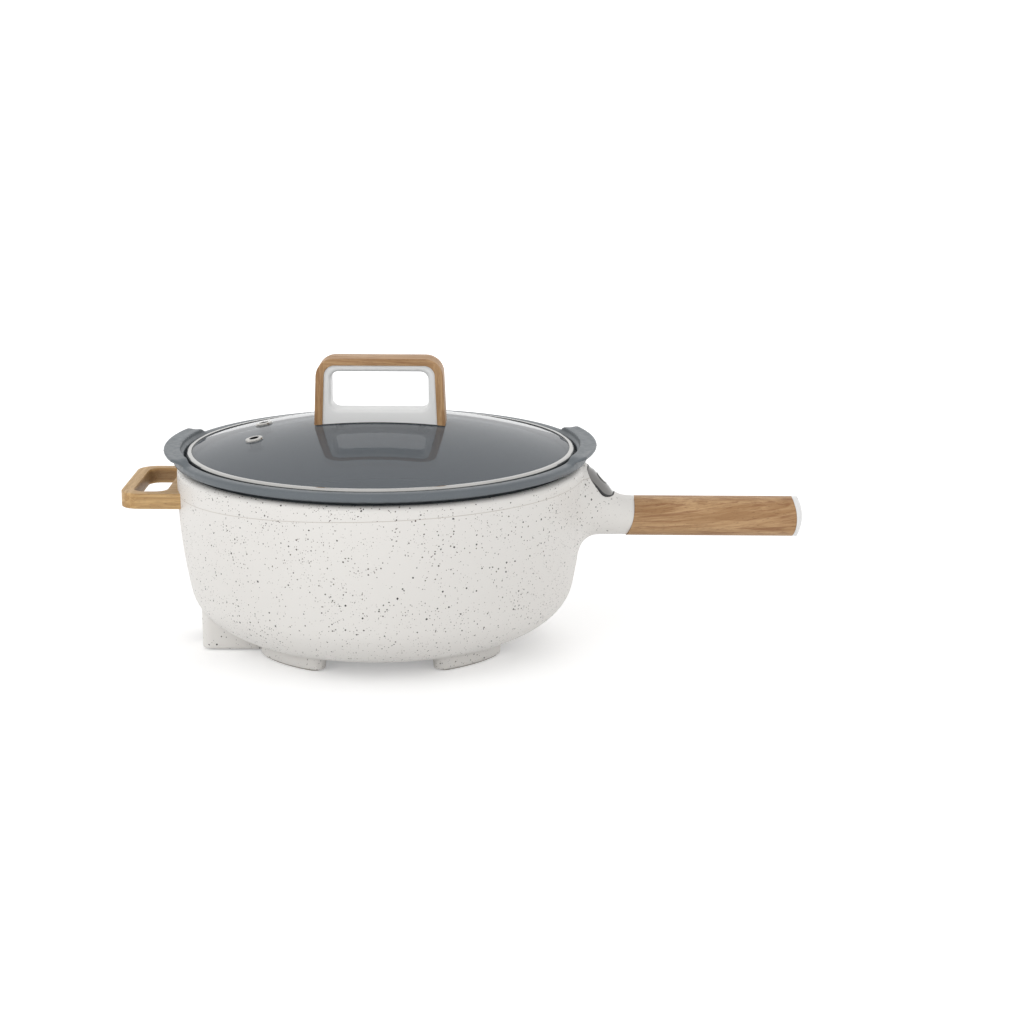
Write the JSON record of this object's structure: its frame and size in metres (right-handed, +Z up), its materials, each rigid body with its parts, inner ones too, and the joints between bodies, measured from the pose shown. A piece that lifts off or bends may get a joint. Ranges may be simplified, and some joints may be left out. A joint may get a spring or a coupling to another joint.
{
  "type": "electric skillet",
  "caption": "Round electric skillet: speckled bowl housing with wood-look handles, lift-out non-stick pot and lift-off domed glass lid with a loop handle.",
  "frame": {"origin": "on the pot's vertical axis, in the plane of the feet", "axes": "+X from the pot's axis towards the long handle, +Z up, so the front seen in the picture faces -Y"},
  "size_m": [0.507, 0.31, 0.2173],
  "materials": {
    "speckled_enamel": "satin off-white moulding with fine dark speckles",
    "zinc": "plain plated steel",
    "black_rubber": "matte",
    "cast_aluminium": "turned satin",
    "white_plastic": "semi-gloss",
    "circuit_board": "solder mask",
    "wire_rubber": "matte insulation",
    "black_plastic": "fine texture",
    "smoked_plastic": "polished smoke-tinted cover",
    "light_pipe": "clear amber light pipe",
    "wood_grain": "warm oak look, satin, grain along the length",
    "pot_coating": "satin grey-blue non-stick coating",
    "clear_glass": "polished tempered glass",
    "bright_steel": "polished stainless steel",
    "grey_silicone": "matte silicone"
  },
  "bodies": {
    "housing": {"outer_shell": "speckled_enamel", "top_ring": "speckled_enamel", "base_cover": "speckled_enamel", "base_screws": "zinc", "foot_pads": "black_rubber", "heat_shield": "zinc", "shield_screws": "zinc", "heating_plate": "cast_aluminium", "heating_element": "zinc", "plate_spacers": "zinc", "plate_screws": "zinc", "probe_guide": "zinc", "safety_thermostat": "white_plastic", "thermal_fuse": "white_plastic", "power_board": "circuit_board", "internal_wires": "wire_rubber", "inlet_housing": "black_plastic", "inlet_pins": "zinc", "control_bezel": "black_plastic", "control_lens": "smoked_plastic", "control_board": "circuit_board", "indicator_lights": "light_pipe", "handle_core": "black_plastic", "handle_sleeve": "wood_grain", "handle_end_cap": "white_plastic", "handle_bolt": "zinc", "handle_nut": "zinc", "side_handle": "wood_grain", "side_handle_screws": "zinc", "probe_spring": "zinc"},
    "pot": {"inner_pot": "pot_coating"},
    "lid": {"lid_glass": "clear_glass", "lid_rim": "bright_steel", "lid_vent_eyelets": "bright_steel", "lid_handle_gasket": "grey_silicone", "lid_handle_frame": "white_plastic", "lid_handle_band": "wood_grain", "lid_screws": "zinc", "lid_screw_washers": "grey_silicone"},
    "probe": {"thermostat_probe": "cast_aluminium", "probe_clip": "zinc"},
    "button": {"power_button": "white_plastic"}
  },
  "joints": [
    {"name": "pot_lift", "type": "slide", "parent": "housing", "child": "pot", "axis": [0, 0, 1], "range_m": [0, 0.16]},
    {"name": "lid_lift", "type": "slide", "parent": "pot", "child": "lid", "axis": [0, 0, 1], "range_m": [0, 0.12]},
    {"name": "probe_travel", "type": "slide", "parent": "housing", "child": "probe", "axis": [0, 0, 1], "range_m": [-0.002, 0], "stiffness_N_per_m": 400, "springref_m": 0.006, "deforming": ["probe_spring"]},
    {"name": "button_press", "type": "slide", "parent": "housing", "child": "button", "axis": [-0.7431, 0, -0.6691], "range_m": [0, 0.0008], "stiffness_N_per_m": 800, "springref_m": -0.001}
  ]
}
